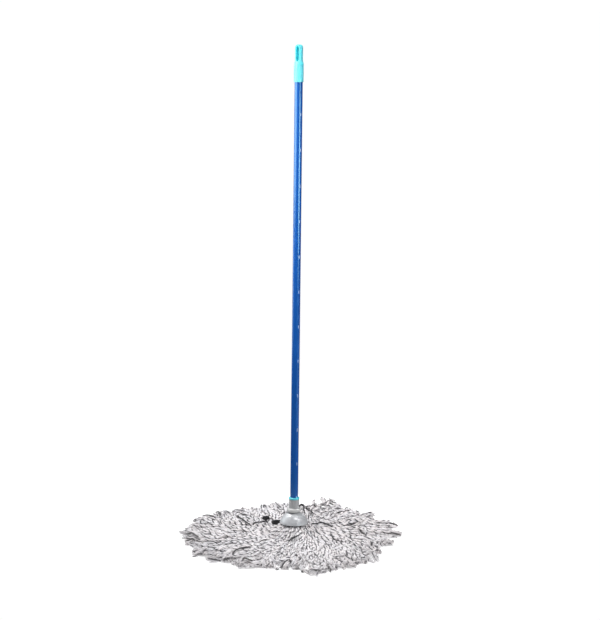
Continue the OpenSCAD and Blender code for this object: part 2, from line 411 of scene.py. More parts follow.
def paint_hard_parts():
    aqua = moulded_plastic("aqua_plastic", (0.115, 0.58, 0.66), 0.36)
    aqua.surface.subsurface_method = "BURLEY"
    aqua.set(subsurface=0.65, subsurface_scale=0.012, subsurface_radius=(0.25, 1.0, 1.0))
    grey = moulded_plastic("grey_plastic", (0.37, 0.37, 0.375), 0.5, grain=1800, depth=0.00008)
    polish_flange_paint_highlight(grey)
    silver = moulded_plastic("silver_plastic", (0.56, 0.565, 0.58), 0.41, grain=3200, depth=0.00003)
    silver.set(metallic=0.42)
    nylon = moulded_plastic("dark_nylon", (0.022, 0.022, 0.024), 0.5)
    zinc = brushed_metal("zinc_steel", (0.66, 0.67, 0.69), 0.34, (1, 1, 1))
    steel = brushed_metal("tube_steel", (0.55, 0.56, 0.57), 0.3, (1, 1, 0.01))
    for node in ("hanging_cap", "threaded_insert"):
        paint(node, aqua.material)
    for node in ("thrust_washer", "swivel_washer", "yarn_spacer"):
        paint(node, nylon.material)
    for node in ("swivel_bolt", "clamp_plate", "spring_washer", "lock_nut"):
        paint(node, zinc)
    paint("socket", grey.material)
    paint("dome", silver.material)
    paint("steel_tube", steel)
    paint("tube_film", film_material())


# ---------------------------------------------------------------- yarn: smooth functions
def smoothstep(value):
    value = np.clip(value, 0, 1)
    return value * value * (3 - 2 * value)


def ramp(value, start, reach):
    """Goes straight from 0 at start to 1 at start + reach."""
    return np.clip((value - start) / reach, 0, 1)


def rise(value, start, reach):
    """Goes smoothly from 0 at start to 1 at start + reach."""
    return smoothstep((value - start) / reach)


def bell(value, width):
    return np.exp(-(value / width) ** 2)


def wave_sum(rng, count, low, high):
    """A smooth function of an angle: sines of whole orders from low to high, which drift with along."""
    orders = rng.integers(low, high + 1, count)
    phases = rng.uniform(0, 2 * np.pi, count)
    sizes = rng.uniform(0.4, 1.0, count)
    sizes /= np.sqrt((sizes ** 2).sum() / 2)
    slopes = rng.normal(0, 1, count)

    def value(angle, along=0.0):
        total = 0.0
        for order, phase, size, slope in zip(orders, phases, sizes, slopes):
            total = total + size * np.sin(order * angle + phase + slope * along)
        return total

    return value


def ripples(rng, along, count, waves):
    """For each strand, a smooth random function of the distance along it, from (wavelength, size) pairs."""
    total = np.zeros_like(along)
    for wavelength, size in waves:
        phase = rng.uniform(0, 2 * np.pi, (count, 1))
        length = wavelength * rng.uniform(0.75, 1.3, (count, 1))
        total += rng.normal(0, 1, (count, 1)) * size * np.sin(2 * np.pi * along / length + phase)
    return total


# ---------------------------------------------------------------- yarn: laying the strands
SEED = 20
BUNDLES = 12
LAYERS = ("lower", "upper")
STRANDS_PER_BUNDLE = 17
CONTROL_POINTS = 60
START_RADIUS = 0.022
STRAND_RADIUS = 0.0031
SPREAD = CAD_HIGH.x
DOME_LOW, DOME_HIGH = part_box("dome")
DOME_RADIUS = DOME_HIGH.x
RIM_Z = DOME_LOW.z
PLATE_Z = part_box("clamp_plate")[1].z

# The pile is as high as the CAD bundles: at the dome nearly up to the rim, and this high at the edge
PILE_EDGE = 0.009
PILE_FALL = 1.8
RIM_GAP = 0.0005
# The strands are laid a little higher than the pile, and sink when they settle
PILE_LOFT = 1.15
CLAMP_GAP = 0.003
# A strand leaves the clamp's height at this radius, and is down on the pile this much further out
CLAMP_EXIT = 0.034
CLAMP_EASE = 0.03

# Steps of this part of the height spread the levels of neighbouring strands evenly
GOLDEN_PART = 0.618034
ANGLE_JITTER = 0.45
LEVEL_JITTER = 0.08
# Strands end this far inside the CAD's edge, give or take the jitter, and a few are cut shorter
END_GAP = 0.006
LENGTH_JITTER = 0.007
SHORT_SHARE = 0.08
SHORT_PARTS = (0.80, 0.93)
# How a strand's heading wanders, in radians: pairs of wavelength and size, and how that grows along it
WANDER_WAVES = ((0.19, 0.14), (0.10, 0.19), (0.055, 0.15))
WANDER_START = 0.02
WANDER_REACH = 0.16
WANDER_POWER = 1.3
# How a strand rises and falls, in the same way
CRIMP_WAVES = ((0.11, 0.0022), (0.06, 0.0014))
CRIMP_START = 0.06
CRIMP_REACH = 0.1
# The last part of a strand turns: into a loop on some strands, and slightly on the rest
LOOPED_SHARE = 0.16
LOOP_TURNS = (2.0, 3.3)
LOOP_LENGTH = 0.036
CURL_TURN = 0.55
CURL_LENGTH = 0.055


def pile_height(radius):
    """Height of the spread pile at a radius."""
    t = np.clip((SPREAD - radius) / (SPREAD - DOME_RADIUS), 0, 1)
    return PILE_EDGE + (RIM_Z - RIM_GAP - PILE_EDGE) * t ** PILE_FALL


def lay_strands(rng):
    """Strand paths before settling, as (strand, point, xyz), with each strand's angle, level and spacing."""
    per_layer = BUNDLES * STRANDS_PER_BUNDLE
    count = per_layer * len(LAYERS)
    layer = np.repeat(np.arange(len(LAYERS)), per_layer)
    within = np.tile(np.arange(per_layer), len(LAYERS))
    jitter = rng.uniform(-ANGLE_JITTER, ANGLE_JITTER, count)
    angle = (within + 0.5 + jitter + 0.5 * layer) / per_layer * 2 * np.pi
    level = (within * GOLDEN_PART + rng.uniform(-LEVEL_JITTER, LEVEL_JITTER, count)) % 1.0
    level = (layer + level) / len(LAYERS)
    length = SPREAD - START_RADIUS - END_GAP + rng.normal(0, LENGTH_JITTER, count)
    length *= np.where(rng.random(count) < SHORT_SHARE, rng.uniform(*SHORT_PARTS, count), 1.0)
    step = length / (CONTROL_POINTS - 1)
    along = np.arange(CONTROL_POINTS)[None] * step[:, None]
    wander = ripples(rng, along, count, WANDER_WAVES)
    wander *= ramp(along, WANDER_START, WANDER_REACH) ** WANDER_POWER
    looped = rng.random(count) < LOOPED_SHARE
    side = np.where(rng.random(count) < 0.5, -1.0, 1.0)
    curl = side * np.where(looped, rng.uniform(*LOOP_TURNS, count), rng.normal(0, CURL_TURN, count))
    reach = np.where(looped, LOOP_LENGTH, CURL_LENGTH)[:, None]
    turned = rise(along, length[:, None] - reach, reach)
    heading = angle[:, None] + wander + curl[:, None] * turned
    start = START_RADIUS * np.stack([np.cos(angle), np.sin(angle)], -1)
    moves = step[:, None, None] * np.stack([np.cos(heading), np.sin(heading)], -1)
    flat = start[:, None] + np.concatenate([np.zeros((count, 1, 2)), np.cumsum(moves, 1)[:, :-1]], 1)
    radius = np.linalg.norm(flat, axis=-1)
    clamped = PLATE_Z + CLAMP_GAP + level[:, None] * (RIM_Z - PLATE_Z - 2 * CLAMP_GAP)
    resting = STRAND_RADIUS + level[:, None] * (pile_height(radius) - 2 * STRAND_RADIUS) * PILE_LOFT
    crimp = ripples(rng, along, count, CRIMP_WAVES)
    crimp *= ramp(along, CRIMP_START, CRIMP_REACH)
    z = clamped + (resting + np.abs(crimp) - clamped) * rise(radius, CLAMP_EXIT, CLAMP_EASE)
    return np.concatenate([flat, z[..., None]], -1), angle, level, step


# ---------------------------------------------------------------- yarn: settling
# Radius of the lowest strands under the dome, how much more the highest have there, and how much the
# yarn fluffs up far out, all as parts of the strand's radius
PRESSED_SIZE = 0.48
PRESSED_GAIN = 0.40
FLUFF = 0.12
SETTLE_ROUNDS = 80
SINK = 0.00028
# Close pairs are looked for again after so many rounds, within so many strand radii
PAIR_ROUNDS = 3
PAIR_REACH = 2.1
# Strands closer than this part of their radii part by this part of the overlap, and by PUSH_LIMIT at most
TOUCHING = 0.92
PUSH = 0.42
PUSH_LIMIT = 0.0015
STIFFNESS = 0.4
# The first points of a strand are held, and its line keeps this far from the plate and the dome's rim
PINNED = 3
PLATE_RADIUS = 0.032
HARD_GAP = 0.002
NO_ROOF = 1.0


def close_pairs(flat, owner, reach):
    """Pairs of points of different strands that may be within reach, found on a grid of cells."""
    cell = np.floor(flat / reach).astype(np.int64)
    cell -= cell.min(0) - 1
    size = cell.max(0) + 2
    key = (cell[:, 0] * size[1] + cell[:, 1]) * size[2] + cell[:, 2]
    order = np.argsort(key, kind="stable")
    sorted_key = key[order]
    firsts, seconds = [], []
    home = (0, 0, 0)
    steps = [(dx, dy, dz) for dx in (-1, 0, 1) for dy in (-1, 0, 1) for dz in (-1, 0, 1)]
    # Half of the neighbouring cells are enough, because each pair needs to be found only once
    for dx, dy, dz in [step for step in steps if step >= home]:
        wanted = key + (dx * size[1] + dy) * size[2] + dz
        low = np.searchsorted(sorted_key, wanted, "left")
        high = np.searchsorted(sorted_key, wanted, "right")
        for k in range(int((high - low).max())):
            has = np.nonzero(low + k < high)[0]
            other = order[low[has] + k]
            good = owner[has] != owner[other]
            if (dx, dy, dz) == home:
                good &= has < other
            firsts.append(has[good])
            seconds.append(other[good])
    return np.concatenate(firsts), np.concatenate(seconds)


def strand_size(radius, level):
    """Radius of a strand: pressed thin under the dome, the low ones most, and fluffed up far out."""
    pressed = PRESSED_SIZE + PRESSED_GAIN * level[:, None] ** 2
    fluffed = 1.0 + FLUFF * rise(radius, start=0.14, reach=0.12)
    return STRAND_RADIUS * fluffed * (pressed + (1 - pressed) * rise(radius, start=0.035, reach=0.085))


def bends_of(points):
    """How far each inner point of a strand lies from the middle between its neighbours."""
    return points[:, 1:-1] - (points[:, :-2] + points[:, 2:]) / 2


def settle(points, level, step):
    """Lets the strands push each other apart and sink onto the floor, keeping their lengths and bends."""
    count, n, _ = points.shape
    pinned = points[:, :PINNED].copy()
    bends = bends_of(points)
    owner = np.repeat(np.arange(count), n)
    for k in range(SETTLE_ROUNDS):
        points[:, PINNED:, 2] -= SINK
        flat = points.reshape(-1, 3)
        size = strand_size(np.linalg.norm(points[..., :2], axis=-1), level).ravel()
        if k % PAIR_ROUNDS == 0:
            a, b = close_pairs(flat, owner, PAIR_REACH * STRAND_RADIUS)
        gap = flat[a] - flat[b]
        apart = np.linalg.norm(gap, axis=1) + 1e-9
        push = np.clip(TOUCHING * (size[a] + size[b]) - apart, 0, None) * PUSH / apart
        shift = gap * push[:, None]
        total = np.zeros_like(flat)
        for axis in range(3):
            total[:, axis] += np.bincount(a, shift[:, axis], len(flat))
            total[:, axis] -= np.bincount(b, shift[:, axis], len(flat))
        flat += np.clip(total, -PUSH_LIMIT, PUSH_LIMIT)
        points = flat.reshape(count, n, 3)
        points[:, 1:-1] -= (bends_of(points) - bends) * STIFFNESS
        # Every other link gets its length back, and then the links between them
        for first in (0, 1):
            m = (n - first) // 2
            a_end = points[:, first:first + 2 * m:2]
            b_end = points[:, first + 1:first + 2 * m:2]
            link = b_end - a_end
            reach = np.linalg.norm(link, axis=-1, keepdims=True) + 1e-9
            fix = link * (1 - step[:, None, None] / reach) * 0.5
            a_end += fix
            b_end -= fix
        radius = np.linalg.norm(points[..., :2], axis=-1)
        low = np.where(radius < PLATE_RADIUS, PLATE_Z + HARD_GAP, strand_size(radius, level))
        roof = np.where(radius < DOME_RADIUS + HARD_GAP, RIM_Z - HARD_GAP, NO_ROOF)
        points[..., 2] = np.clip(points[..., 2], low, roof)
        points[:, :PINNED] = pinned
    return points


# ---------------------------------------------------------------- yarn: locks and outline
# Places where the spread yarn reaches further out or is drawn in: degrees to the right of the camera's
# side, width in degrees, change of the radius in metres.
OUTLINE_LOBES = ((-22, 55, 0.022), (-7, 9, -0.025), (13, 10, 0.025), (40, 9, 0.010), (62, 14, -0.018),
                 (78, 26, -0.028), (103, 7, 0.014), (-103, 15, 0.014), (178, 60, -0.016))
# Raised locks: degrees to the right of the camera's side, distance from the axis, height gained,
# width in degrees, width along the radius.
RAISED_LOCKS = ((163, 0.310, 0.031, 6, 0.08), (185, 0.300, 0.020, 5, 0.09), (149, 0.29, 0.012, 8, 0.08),
                (158, 0.085, 0.022, 9, 0.030), (205, 0.150, 0.012, 12, 0.05), (118, 0.20, 0.008, 9, 0.05))
# Strands near a raised lock are drawn towards its middle by up to this part of their angle from it
GATHERING = 0.3
# Neighbours sway sideways together from this radius on: size in radians, and how far along the radius
# a wave goes before it has changed
SWAY_START = 0.06
BROAD_SWAY = 0.040
BROAD_DRIFT = 0.12
LOCK_SWAY = 0.036
LOCK_DRIFT = 0.07
# Where a wave is over its floor, the strands stand up, as broad humps and as small tufts
HUMP_HEIGHT = 0.006
HUMP_FLOOR = 0.5
HUMP_DRIFT = 0.05
TUFT_HEIGHT = 0.0035
TUFT_FLOOR = 0.6
TUFT_DRIFT = 0.022
SCALLOP_DEPTH = 0.009
# The strands bulge up in a ring just outside the dome
BULGE_HEIGHT = 0.0035
BULGE_RADIUS = 0.056
BULGE_WIDTH = 0.012
# No strand's line goes further than this past the CAD's box
SPREAD_MARGIN = 0.018


def off_angle(angle, degrees):
    """Signed angle between a direction and one given in degrees to the right of the camera's side."""
    return np.angle(np.exp(1j * (angle - bearing(degrees))))


def warp(points, level, rng):
    """Gathers the settled strands into locks, lifts some of them and shapes the edge."""
    x, y, z = points[..., 0], points[..., 1], points[..., 2]
    radius = np.hypot(x, y)
    angle = np.arctan2(y, x)
    out = np.clip((radius - SWAY_START) / (SPREAD - SWAY_START), 0, 1.1)
    broad = wave_sum(rng, count=5, low=4, high=9)
    locks = wave_sum(rng, count=9, low=12, high=26)
    sway = BROAD_SWAY * broad(angle, radius / BROAD_DRIFT) + LOCK_SWAY * locks(angle, radius / LOCK_DRIFT)
    angle = angle + sway * out
    humps = wave_sum(rng, count=7, low=7, high=22)
    tufts = wave_sum(rng, count=12, low=20, high=60)
    lift = np.clip(humps(angle, radius / HUMP_DRIFT) - HUMP_FLOOR, 0, None) * HUMP_HEIGHT
    lift += np.clip(tufts(angle, radius / TUFT_DRIFT) - TUFT_FLOOR, 0, None) * TUFT_HEIGHT
    lift *= rise(radius, start=0.07, reach=0.12)
    lift += BULGE_HEIGHT * bell(radius - BULGE_RADIUS, BULGE_WIDTH)
    for degrees, distance, height, width, depth in RAISED_LOCKS:
        off = off_angle(angle, degrees)
        near = bell(off, math.radians(width)) * bell(radius - distance, depth)
        lift += height * near * rise(level[:, None], start=0.1, reach=0.6)
        angle = angle - GATHERING * off * near
    scallops = wave_sum(rng, count=8, low=9, high=30)
    edge = SCALLOP_DEPTH * scallops(angle)
    for degrees, width, change in OUTLINE_LOBES:
        edge = edge + change * bell(off_angle(angle, degrees), math.radians(width))
    radius = radius + edge * out ** 2
    across = radius * np.maximum(np.abs(np.cos(angle)), np.abs(np.sin(angle)))
    radius *= np.minimum(1, (SPREAD + SPREAD_MARGIN) / across)
    return np.stack([radius * np.cos(angle), radius * np.sin(angle), z + lift], -1)


# ---------------------------------------------------------------- yarn: curves
RING_SPACING = 0.0024
# Taken off a number of points, this leaves the last place that still has a point after it
LAST_PLACE = 1.000001


def spline(points, step):
    """Even points on a smooth curve along each strand's points, the same number on every strand."""
    n = points.shape[1]
    wanted = int(np.ceil(step.max() * (n - 1) / RING_SPACING)) + 1
    t = np.linspace(0, n - LAST_PLACE, wanted)
    k = np.floor(t).astype(int)
    f = (t - k)[None, :, None]
    before = 2 * points[:, :1] - points[:, 1:2]
    after = 2 * points[:, -1:] - points[:, -2:-1]
    padded = np.concatenate([before, points, after], 1)
    p0, p1, p2, p3 = (padded[:, k + j] for j in range(4))
    total = p0 * (1 - f) ** 3 + p1 * (3 * f ** 3 - 6 * f ** 2 + 4)
    return (total + p2 * (-3 * f ** 3 + 3 * f ** 2 + 3 * f + 1) + p3 * f ** 3) / 6


def smooth_line(points, count):
    """Even points on one smooth curve near a few points, made by cutting its corners five times."""
    line = np.array(points)
    for _ in range(5):
        nearer, further = line[:-1] * 0.75 + line[1:] * 0.25, line[:-1] * 0.25 + line[1:] * 0.75
        inner = np.stack([nearer, further], 1).reshape(-1, line.shape[1])
        line = np.concatenate([line[:1], inner, line[-1:]])
    along = np.concatenate([[0], np.cumsum(np.linalg.norm(np.diff(line, axis=0), axis=1))])
    at = np.linspace(0, along[-1], count)
    return np.stack([np.interp(at, along, line[:, k]) for k in range(line.shape[1])], -1)


def unit(v):
    return v / (np.linalg.norm(v, axis=-1, keepdims=True) + 1e-12)


def travelling_frames(curve):
    """Two normals that turn as little as they can along each curve."""
    tangent = unit(np.gradient(curve, axis=1))
    first = np.empty_like(curve)
    first[:, 0] = unit(np.cross(tangent[:, 0], [0, 0, 1.0]))
    for k in range(1, curve.shape[1]):
        t, last = tangent[:, k], first[:, k - 1]
        first[:, k] = unit(last - t * (last * t).sum(-1, keepdims=True))
    return first, np.cross(tangent, first)


def distance_along(curve):
    length = np.linalg.norm(np.diff(curve, axis=1), axis=-1)
    return np.concatenate([np.zeros((len(curve), 1)), np.cumsum(length, 1)], 1)


def sample(values, low, high, count):
    """Values along each strand, read at an even count of places between two fractions of its length."""
    n = values.shape[1]
    place = (low + (high - low) * np.linspace(0, 1, count)[None]) * (n - LAST_PLACE)
    k = np.floor(place).astype(int)
    rows = np.arange(len(values))[:, None]
    f = place - k
    if values.ndim == 3:
        f = f[..., None]
    return values[rows, k] * (1 - f) + values[rows, k + 1] * f


# ---------------------------------------------------------------- yarn: plies and singles
PLIES = 4
SINGLES = 3
TWIST_PITCH = 0.019
PITCH_PARTS = (0.85, 1.25)
# How tightly a strand is twisted: pairs of wavelength and size of its changes, and its limits
TWIST_WAVES = ((0.14, 0.34), (0.08, 0.26))
TWIST_LIMITS = (0.12, 1.45)
# It is slack over the last part of its length, and held tight over the first
TAIL_LENGTHS = (0.03, 0.12)
TAIL_SLACKS = (0.35, 0.9)
HELD_LENGTH = 0.05
HELD_EASE = 0.11
HELD_LEAST = 0.8
HELD_EXTRA = 0.12
# A strand swells where it is slack
SLACK_SWELL = 0.52
# A ply's distance from the strand's line, and its own radius, as parts of the strand's radius
PLY_OUT = 0.56
PLY_SIZE = 0.52
PLY_TIP = 0.7
# A ply has this part of its strand's points, and lies this part of its radius or more over the floor
PLY_RINGS = 0.93
PLY_REST = 0.9
# The first ply of a strand is the dark one: thicker on some strands than on others, and thinner far out
DARK_SIZES = (0.7, 1.45)
DARK_THINNING = 0.24
# Each ply falls apart over the last part of its strand, and drifts off its line by about this much
FRAY_LENGTHS = (0.010, 0.045)
FRAY_DRIFT = 0.0022
FRAY_PARTS = (0.2, 1.4)
# The singles start inside their ply, and stray sideways, up and in kinks from there to their ends
SINGLE_POINTS = 15
SINGLE_OVERLAP = 0.003
SINGLE_ASIDE = 0.0034
SINGLE_UP = 0.0020
SINGLE_KINK = 0.0011
KINK_TURNS = (5, 11)
SINGLE_SWING = 2.5
SINGLE_TRIM = 0.3
SINGLE_OUT = 0.45
SINGLE_SIZE = 0.60
SINGLE_TAPER = 0.35
SINGLE_TIP = 0.5


def twist_tightness(along, total, rng):
    """How tightly each strand is twisted along its length, where 1 is the usual: its end is slack."""
    count = len(along)
    tail = rng.uniform(*TAIL_LENGTHS, (count, 1))
    slack = rng.uniform(*TAIL_SLACKS, (count, 1)) * smoothstep((along - total + tail) / tail)
    tight = 1 + ripples(rng, along, count, TWIST_WAVES) - slack
    tight = np.clip(tight, *TWIST_LIMITS)
    tight = np.where(along < HELD_LENGTH, np.maximum(tight, HELD_LEAST), tight)
    return tight * (1 + HELD_EXTRA * (1 - rise(along, HELD_LENGTH, HELD_EASE)))


def loose_single(line, thick, first, start, single, rng):
    """One single of the same ply on every strand, from the fraction start to the end: lines and radii."""
    count = len(line)
    t = np.linspace(0, 1, SINGLE_POINTS)[None]
    centre = sample(line, start, 1.0, SINGLE_POINTS)
    width = sample(thick, start, 1.0, SINGLE_POINTS)
    aside = rng.normal(0, SINGLE_ASIDE, (count, 1))
    up = np.abs(rng.normal(0, SINGLE_UP, (count, 1)))
    kink = rng.normal(0, SINGLE_KINK, (count, 1))
    kink = kink * np.sin(t * rng.uniform(*KINK_TURNS, (count, 1)) + single)
    ring = SINGLE_OUT * width
    swing = 2 * np.pi * single / SINGLES + SINGLE_SWING * t
    side = ring * np.cos(swing) + (aside * t ** 1.3 + kink * t)
    high = ring * np.sin(swing) + up * t * (1 - 0.4 * t)
    place = centre + side[..., None] * sample(first, start, 1.0, SINGLE_POINTS)
    place[..., 2] += high
    trim = 1 - rng.uniform(0, SINGLE_TRIM, (count, 1))
    place = sample(place, np.zeros((count, 1)), trim, SINGLE_POINTS)
    thin = SINGLE_SIZE * width * (1 - SINGLE_TAPER * t)
    place[..., 2] = np.maximum(place[..., 2], thin)
    thin[:, -1] *= SINGLE_TIP
    return place, thin


def spin_strands(curve, level, rng):
    """The plies that wind round each strand, and the singles that each ply falls apart into at the end."""
    count, n, _ = curve.shape
    first, second = travelling_frames(curve)
    along = distance_along(curve)
    total = along[:, -1:]
    radius = np.linalg.norm(curve[..., :2], axis=-1)
    size = strand_size(radius, level)
    tight = twist_tightness(along, total, rng)
    pitch = TWIST_PITCH * rng.uniform(*PITCH_PARTS, (count, 1))
    turn = np.cumsum(2 * np.pi / pitch * tight * total / (n - 1), axis=1)
    turn += rng.uniform(0, 2 * np.pi, (count, 1))
    swell = 1 + SLACK_SWELL * np.clip(1 - tight, 0, 1)
    fray = rng.uniform(*FRAY_LENGTHS, (count, 1))
    split = 1 - fray / total
    loose = np.clip((along - total + fray) / fray, 0, 1)
    heavy = rng.uniform(*DARK_SIZES, (count, 1))
    heavy = heavy * (1 - DARK_THINNING * rise(radius, start=0.15, reach=0.11))
    rings = int(n * PLY_RINGS)
    strands = []
    for ply in range(PLIES):
        phase = (turn + 2 * np.pi * ply / PLIES)[..., None]
        own = rng.uniform(*FRAY_PARTS, (count, 1))
        out = size * PLY_OUT * swell + FRAY_DRIFT * own * loose ** 1.4
        line = curve + out[..., None] * (np.cos(phase) * first + np.sin(phase) * second)
        thick = size * PLY_SIZE * (0.5 + 0.5 * swell) * (heavy if ply == 0 else 1.0)
        place = sample(line, 0, split, rings)
        thin = sample(thick, 0, split, rings)
        thin[:, -1] *= PLY_TIP
        place[..., 2] = np.maximum(place[..., 2], PLY_REST * thin)
        start = split - SINGLE_OVERLAP / total
        singles = [loose_single(line, thick, first, start, single, rng) for single in range(SINGLES)]
        strands.append(((place, thin), singles))
    return strands


# ---------------------------------------------------------------- yarn: loose threads
# Dark plies that have pulled out and lie on the pile: where each starts, to the right of the axis and
# away from the camera's side, its heading in degrees, its length and how far it bows to its left.
STRAY_PLIES = (
    (-0.070, 0.085, 210, 0.055, -0.006), (-0.165, 0.165, -70, 0.110, -0.004),
    (-0.160, -0.235, 65, 0.100, 0.018), (-0.230, 0.205, -75, 0.060, 0.006),
    (-0.265, 0.130, -50, 0.065, 0.005), (-0.300, -0.020, -50, 0.060, 0.004),
    (-0.300, -0.075, -30, 0.035, 0.004), (-0.135, -0.260, 0, 0.030, 0.003),
    (-0.015, -0.100, 50, 0.045, 0.003), (0.045, 0.040, 0, 0.065, 0.026),
    (0.260, 0.095, -5, 0.040, 0.006), (0.260, -0.005, 15, 0.040, -0.002),
    (0.220, -0.110, -85, 0.055, 0.004), (0.095, -0.305, -90, 0.030, 0.002),
    (0.090, 0.280, -10, 0.020, 0.005))
STRAY_POINTS = 26
STRAY_RADIUS = 0.0019
STRAY_PITCH = 0.022
STRAY_THREADS = 3
# A stray arches up in the middle, and its height is evened out over so many points
STRAY_ARCH = 0.004
STRAY_EVENED = 9
# The pile under a place is as high as the highest strand within this distance
PILE_TOP_REACH = 0.008
# Balls of black yarn beside the dome: centre to the right and away, half width, half height.
BLACK_BALLS = ((-0.050, 0.035, 0.013, 0.0045), (-0.080, 0.105, 0.0095, 0.004))
BALL_POINTS = 110
BALL_RADIUS = 0.0026
BALL_PITCH = 0.026
BALL_TURNS = 3.2
# The turns of a ball get smaller, until this part of its size is gone. It lies this far over the pile,
# and its height wobbles by so much, so many times for each turn.
BALL_SHRINK = 0.62
BALL_LIFT = 0.003
BALL_WOBBLE = 0.0012
WOBBLE_PACE = 2.3
# Strands that stand up in a bow behind the dome: right, away and height over the floor.
DARK_BOW = ((0.010, 0.050, 0.035), (0.010, 0.040, 0.055), (0.015, 0.035, 0.075), (0.020, 0.035, 0.085),
            (0.025, 0.040, 0.080), (0.035, 0.060, 0.065), (0.040, 0.080, 0.055), (0.045, 0.105, 0.045),
            (0.060, 0.125, 0.030))
WHITE_BOW = ((0.010, 0.045, 0.040), (0.015, 0.035, 0.065), (0.020, 0.025, 0.080), (0.030, 0.020, 0.070),
             (0.035, 0.015, 0.065), (0.040, 0.005, 0.060), (0.045, -0.005, 0.050), (0.050, -0.015, 0.035))
BOW_POINTS = 70
DARK_BOW_RADIUS = 0.0027
BOW_PITCH = TWIST_PITCH * 1.5
# Wound threads taper to this part of their size over this length at both ends
WOUND_SIZE = 0.54
WOUND_TIP = 0.35
WOUND_TAPER = 0.006


def pile_top(points, x, y):
    """Height of the settled yarn under each place."""
    flat = points.reshape(-1, 3)
    near = np.hypot(flat[:, 0] - x[:, None], flat[:, 1] - y[:, None]) < PILE_TOP_REACH
    return np.where(near, flat[:, 2], STRAND_RADIUS).max(1) + STRAND_RADIUS


def wind(x, y, z, radius, threads, pitch):
    """Threads wound round one line, each as its own line and radii."""
    line = np.stack([x, y, z], -1)[None]
    first, second = travelling_frames(line)
    along = distance_along(line)
    ends = np.clip(np.minimum(along, along[:, -1:] - along) / WOUND_TAPER, WOUND_TIP, 1)
    wound = []
    for k in range(threads):
        turn = (2 * np.pi * (along / pitch + k / threads))[..., None]
        out = np.cos(turn) * first + np.sin(turn) * second
        wound.append((line + radius * PLY_OUT * ends[..., None] * out, radius * WOUND_SIZE * ends))
    return wound


def stray_threads(points):
    """The black and the white threads of the pulled plies, the balls and the bows."""
    black, white = [], []
    for right, away, degrees, length, bow in STRAY_PLIES:
        heading = math.radians(degrees)
        t = np.linspace(0, 1, STRAY_POINTS)
        ahead, aside = t * length, bow * 4 * t * (1 - t)
        x, y = beside(right + ahead * math.cos(heading) - aside * math.sin(heading),
                      away + ahead * math.sin(heading) + aside * math.cos(heading))
        z = pile_top(points, x, y) + STRAY_ARCH * np.sin(np.pi * t)
        z = np.pad(z, STRAY_EVENED // 2, mode="edge")
        z = np.convolve(z, np.ones(STRAY_EVENED) / STRAY_EVENED, "valid")
        black += wind(x, y, z, STRAY_RADIUS, STRAY_THREADS, STRAY_PITCH)
    for right, away, half_width, half_height in BLACK_BALLS:
        turn = np.linspace(0, 2 * np.pi * BALL_TURNS, BALL_POINTS)
        shrink = 1 - BALL_SHRINK * turn / turn[-1]
        x, y = beside(right + half_width * shrink * np.cos(turn),
                      away + 0.5 * half_height * shrink * np.sin(turn))
        base = np.median(pile_top(points, x, y)) + BALL_LIFT
        z = base + half_height * shrink * np.sin(turn) + BALL_WOBBLE * np.sin(WOBBLE_PACE * turn)
        black += wind(x, y, z, BALL_RADIUS, STRAY_THREADS, BALL_PITCH)
    for route, radius, black_plies in ((DARK_BOW, DARK_BOW_RADIUS, 3), (WHITE_BOW, STRAND_RADIUS, 1)):
        bow = smooth_line(route, BOW_POINTS)
        x, y = beside(bow[:, 0], bow[:, 1])
        plies = wind(x, y, bow[:, 2], radius, PLIES, BOW_PITCH)
        black += plies[:black_plies]
        white += plies[black_plies:]
    return black, white


# ---------------------------------------------------------------- yarn: material
FIBRE_SCALE = 2400
FIBRE_DEPTH = 0.0002
SHADOW_SCALE = 90
SHADOW_TONES = ((0.93, 0.925, 0.94), (1, 1, 1))
TINTS = ((1.0, 0.965, 0.955), (0.985, 0.985, 1.0))
DIRT_COLOR = (0.45, 0.42, 0.41)
DIRT_STRENGTH = 0.22
WHITE_TONES = ((0.68, 0.665, 0.67), (0.84, 0.825, 0.83))
DARK_TONES = ((0.058, 0.058, 0.062), (0.120, 0.120, 0.125))
BLACK_TONES = ((0.012, 0.012, 0.014), (0.038, 0.038, 0.041))


def yarn_material(name, low, high):
    """Spun cotton: fine fibres, a tint and some dirt for each strand, faint patches and a soft sheen."""
    s = Shader(name)
    attribute = s.node("ShaderNodeAttribute", attribute_name="yarn")
    dirt, tint, _ = s.split(attribute.outputs["Vector"])
    fibre = s.noise(FIBRE_SCALE, detail=3, roughness=0.7)
    patches = s.noise(SHADOW_SCALE, detail=3)
    color = s.mix(s.spread(fibre, 0.3, 0.7), low, high)
    color = s.mix(1.0, color, s.mix(tint, *TINTS), blend="MULTIPLY")
    shadow = s.mix(s.spread(patches, 0.35, 0.7), *SHADOW_TONES)
    color = s.mix(1.0, color, shadow, blend="MULTIPLY")
    color = s.mix(s.math("MULTIPLY", dirt, DIRT_STRENGTH), color, DIRT_COLOR)
    s.set(color=color, roughness=s.spread(fibre, 0.2, 0.8, 0.86, 0.98), sheen=0.2, sheen_roughness=0.5,
          normal=s.bump(fibre, FIBRE_DEPTH), specular=0.15)
    return s.material


# ---------------------------------------------------------------- yarn: pieces
PLY_SIDES = 6
SINGLE_SIDES = 5
STRAY_SIDES = 7
STRAY_TINT = 0.5


